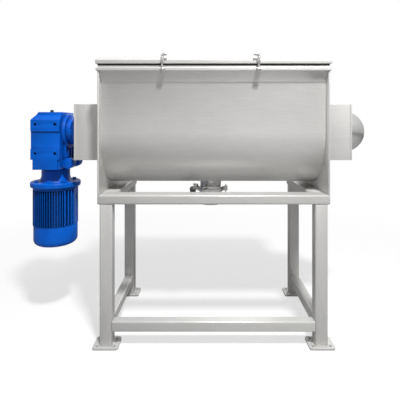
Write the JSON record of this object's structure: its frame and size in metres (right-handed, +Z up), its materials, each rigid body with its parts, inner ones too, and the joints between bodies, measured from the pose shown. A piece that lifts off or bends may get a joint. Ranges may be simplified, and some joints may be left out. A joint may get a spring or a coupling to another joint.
{
  "type": "ribbon blender",
  "caption": "Horizontal ribbon blender: lidded U trough on an open tube frame, double ribbon agitator, clamped butterfly outlet below and a vertical gearmotor at one end.",
  "frame": {"origin": "on the floor at the centre of the four feet, at the centre of the outermost anchor holes", "axes": "+X along the shaft from the gearmotor to the domed cap, +Y from the front with the lid clamps to the hinges at the back, +Z up"},
  "size_m": [1.8255, 0.653, 1.391],
  "materials": {
    "frame_steel": "satin, bead blasted",
    "brushed_steel": "brushed",
    "polished_steel": "polished",
    "ribbon_steel": "ground",
    "blue_paint": "gloss enamel",
    "black_plastic": "matt",
    "black_rubber": "matt",
    "white_silicone": "matt",
    "seal_cast": "machined",
    "bearing_steel": "ground"
  },
  "bodies": {
    "stand": {"band_fasteners": "polished_steel", "band_front": "polished_steel", "band_rear": "polished_steel", "bearing_box_left": "brushed_steel", "bearing_box_right": "brushed_steel", "bearing_cap": "polished_steel", "bearing_covers": "brushed_steel", "bearing_housings": "seal_cast", "bearings": "bearing_steel", "cable_gland": "black_plastic", "clamp_brackets": "polished_steel", "clamp_pins": "polished_steel", "end_plate_left": "brushed_steel", "end_plate_right": "brushed_steel", "fan_cowl": "blue_paint", "flange_bolts": "blue_paint", "foot_plates": "frame_steel", "gearbox_housing": "blue_paint", "hinge_brackets": "polished_steel", "hinge_pins": "polished_steel", "leg_front_left": "frame_steel", "leg_front_right": "frame_steel", "leg_rear_left": "frame_steel", "leg_rear_right": "frame_steel", "lid_gasket": "black_rubber", "low_rail_front": "frame_steel", "low_rail_left": "frame_steel", "low_rail_right": "frame_steel", "motor_adapter": "blue_paint", "motor_frame": "blue_paint", "motor_stator": "seal_cast", "outlet_neck": "polished_steel", "shaft_seals": "seal_cast", "terminal_box": "blue_paint", "top_rail_front": "frame_steel", "top_rail_left": "frame_steel", "top_rail_right": "frame_steel", "trough_rim": "brushed_steel", "trough_shell": "brushed_steel", "valve_body": "polished_steel", "valve_seat": "white_silicone", "vent_plug": "black_plastic", "wing_nut": "polished_steel"},
    "agitator": {"main_shaft": "ribbon_steel", "outer_ribbon_left": "ribbon_steel", "outer_ribbon_right": "ribbon_steel", "inner_ribbon_left": "ribbon_steel", "inner_ribbon_right": "ribbon_steel", "spokes": "ribbon_steel"},
    "rotor": {"motor_rotor": "seal_cast", "cooling_fan": "black_plastic"},
    "lid": {"lid": "brushed_steel", "hinge_leaves": "polished_steel"},
    "swing_bolt_left": {"clamp_bolt_left": "polished_steel"},
    "clamp_arm_left": {"clamp_arm_left": "polished_steel"},
    "swing_bolt_right": {"clamp_bolt_right": "polished_steel"},
    "clamp_arm_right": {"clamp_arm_right": "polished_steel"},
    "valve_lever": {"valve_disc": "polished_steel", "valve_lever": "polished_steel", "valve_grip": "black_plastic"}
  },
  "joints": [
    {"name": "rotor_spin", "type": "hinge", "parent": "stand", "child": "rotor", "pos_m": [-0.8655, 0, 0.6], "axis": [0, 0, 1], "continuous": true},
    {"name": "agitator_spin", "type": "hinge", "parent": "stand", "child": "agitator", "pos_m": [0, 0, 1.015], "axis": [1, 0, 0], "continuous": true},
    {"name": "lid_hinge", "type": "hinge", "parent": "stand", "child": "lid", "pos_m": [0, 0.32, 1.351], "axis": [-1, 0, 0], "range_deg": [0, 100]},
    {"name": "clamp_left_swing", "type": "hinge", "parent": "stand", "child": "swing_bolt_left", "pos_m": [-0.241, -0.318, 1.316], "axis": [1, 0, 0], "range_deg": [0, 150]},
    {"name": "clamp_left_turn", "type": "hinge", "parent": "swing_bolt_left", "child": "clamp_arm_left", "pos_m": [-0.241, -0.318, 1.378], "axis": [0, 0, 1], "range_deg": [0, 90]},
    {"name": "clamp_right_swing", "type": "hinge", "parent": "stand", "child": "swing_bolt_right", "pos_m": [0.211, -0.318, 1.316], "axis": [1, 0, 0], "range_deg": [0, 150]},
    {"name": "clamp_right_turn", "type": "hinge", "parent": "swing_bolt_right", "child": "clamp_arm_right", "pos_m": [0.211, -0.318, 1.378], "axis": [0, 0, -1], "range_deg": [0, 90]},
    {"name": "valve_turn", "type": "hinge", "parent": "stand", "child": "valve_lever", "pos_m": [-0.01, 0, 0.663], "axis": [1, 0, 0], "range_deg": [0, 90]}
  ],
  "couplings": [
    {"joint": "agitator_spin", "follows": "rotor_spin", "ratio": 0.027778}
  ]
}
